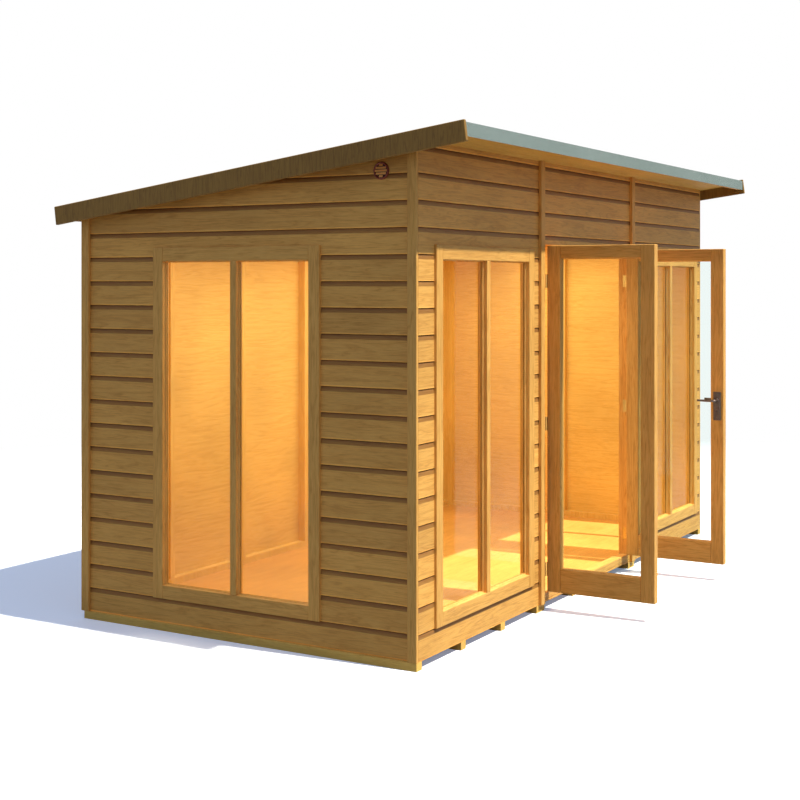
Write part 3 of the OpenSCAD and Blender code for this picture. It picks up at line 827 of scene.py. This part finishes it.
def dress_cad():
    """Materials for the CAD nodes that stay."""
    finish = {
        "front_left_studs": inner_z, "front_right_studs": inner_z, "left_wall_studs": inner_z,
        "right_wall_studs": inner_z, "back_studs": inner_z, "header_frame": inner_x, "rafters": inner_y,
        "eaves_battens": joinery_x, "roof_felt": felt, "jamb_hinges": brass, "left_door_hinges": brass,
        "right_door_hinges": brass,
    }
    for name in nodes:
        if name.startswith("floor_"):
            finish[name] = floor_wood
        elif name.startswith("bearers_"):
            finish[name] = bearer_wood
        elif name.endswith("_glass"):
            finish[name] = glass
    for name, mat in finish.items():
        obj = nodes[name]
        obj.data.materials.clear()
        obj.data.materials.append(mat)


build_walls()
build_trims()
build_windows()
build_door("left", LEFT)
build_door("right", RIGHT)
build_handle()
build_hinge_screws()
build_doorway()
build_roof()
build_barges()
build_vent()
build_felt_details()
dress_cad()


# ------------------------------------------------------------------ floor, light, camera

def build_stage():
    bm = bmesh.new()
    rings = [0.0, 3.0, 6.0, 12.0, 30.0, 90.0]
    sides = 48
    centre = bm.verts.new((0, 0, 0))
    last = None
    for r in rings[1:]:
        loop = [bm.verts.new((r * math.cos(2 * math.pi * i / sides), r * math.sin(2 * math.pi * i / sides), 0))
                for i in range(sides)]
        for i in range(sides):
            j = (i + 1) % sides
            if last is None:
                bm.faces.new((centre, loop[i], loop[j]))
            else:
                bm.faces.new((last[i], loop[i], loop[j], last[j]))
        last = loop
    mesh = bpy.data.meshes.new("studio_floor")
    bm.to_mesh(mesh)
    bm.free()
    obj = bpy.data.objects.new("studio_floor", mesh)
    bpy.context.scene.collection.objects.link(obj)
    n = Nodes("studio_floor_pale")
    path = n.add("ShaderNodeLightPath")
    n.finish(n.mix(path.outputs["Is Diffuse Ray"], (0.93, 0.93, 0.93), (0.10, 0.095, 0.085)), 0.8, specular=0.1)
    n.bsdf.inputs["Emission Color"].default_value = (0.62, 0.74, 1.0, 1.0)
    n.link(n.math("MULTIPLY", path.outputs["Is Camera Ray"], 0.26), n.bsdf.inputs["Emission Strength"])
    glow = n.add("ShaderNodeEmission")
    glow.inputs["Color"].default_value = (1.0, 1.0, 1.0, 1.0)
    dist = n.add("ShaderNodeVectorMath", operation="LENGTH")
    n.link(n.coords(), dist.inputs[0])
    far = n.add("ShaderNodeMapRange")
    n.link(dist.outputs["Value"], far.inputs["Value"])
    far.inputs["From Min"].default_value = 3.2
    far.inputs["From Max"].default_value = 7.0
    seen = n.math("MAXIMUM", path.outputs["Is Camera Ray"], path.outputs["Is Glossy Ray"])
    seen = n.math("MAXIMUM", seen, path.outputs["Is Transmission Ray"])
    mixer = n.add("ShaderNodeMixShader")
    n.link(n.math("MULTIPLY", far.outputs[0], seen), mixer.inputs[0])
    n.link(n.bsdf.outputs[0], mixer.inputs[1])
    n.link(glow.outputs[0], mixer.inputs[2])
    n.link(mixer.outputs[0], n.out.inputs["Surface"])
    mesh.materials.append(n.mat)

    world = bpy.data.worlds.new("studio_world")
    bpy.context.scene.world = world
    world.use_nodes = True
    tree = world.node_tree
    tree.nodes.clear()
    out = tree.nodes.new("ShaderNodeOutputWorld")
    fill = tree.nodes.new("ShaderNodeBackground")
    fill.inputs["Color"].default_value = (0.56, 0.70, 1.0, 1.0)
    fill.inputs["Strength"].default_value = 0.52
    white = tree.nodes.new("ShaderNodeBackground")
    white.inputs["Color"].default_value = (1, 1, 1, 1)
    white.inputs["Strength"].default_value = 1.0
    path = tree.nodes.new("ShaderNodeLightPath")
    one = tree.nodes.new("ShaderNodeMath")
    one.operation = "MAXIMUM"
    tree.links.new(path.outputs["Is Camera Ray"], one.inputs[0])
    tree.links.new(path.outputs["Is Glossy Ray"], one.inputs[1])
    two = tree.nodes.new("ShaderNodeMath")
    two.operation = "MAXIMUM"
    tree.links.new(one.outputs[0], two.inputs[0])
    tree.links.new(path.outputs["Is Transmission Ray"], two.inputs[1])
    mix = tree.nodes.new("ShaderNodeMixShader")
    tree.links.new(two.outputs[0], mix.inputs[0])
    tree.links.new(fill.outputs[0], mix.inputs[1])
    tree.links.new(white.outputs[0], mix.inputs[2])
    tree.links.new(mix.outputs[0], out.inputs[0])

    sun = bpy.data.lights.new("studio_key", "SUN")
    sun.energy = 6.2
    sun.angle = math.radians(1.0)
    sun.color = (1.0, 0.97, 0.90)
    holder = bpy.data.objects.new("studio_key", sun)
    bpy.context.scene.collection.objects.link(holder)
    direction = Vector((-0.042, 0.551, -1.0))
    holder.rotation_euler = direction.to_track_quat("-Z", "Y").to_euler()

    lamp = bpy.data.lights.new("studio_inside", "AREA")
    lamp.shape = "RECTANGLE"
    lamp.size, lamp.size_y = RIGHT_X - LEFT_X - 0.6, 0.9
    lamp.energy = 42.0
    lamp.color = (1.0, 0.90, 0.72)
    inside = bpy.data.objects.new("studio_inside", lamp)
    bpy.context.scene.collection.objects.link(inside)
    inside.location = (0.0, (FRONT + BACK) / 2, BACK_TOP - 0.09)


def build_camera():
    cam = bpy.data.cameras.new("view")
    cam.sensor_width = 36.0
    cam.lens = 62.5
    cam.shift_y = -0.1472
    cam.clip_end = 300.0
    obj = bpy.data.objects.new("view", cam)
    bpy.context.scene.collection.objects.link(obj)
    corner = (LEFT_X, FRONT, 0.0)
    obj.location = (corner[0] - 4.9422, corner[1] - 2.8200, 1.5985)
    obj.rotation_euler = (math.radians(90.0), 0.0, 0.5304 - math.radians(90.0))
    bpy.context.scene.camera = obj


build_stage()
build_camera()
bpy.context.scene.view_settings.view_transform = "Standard"
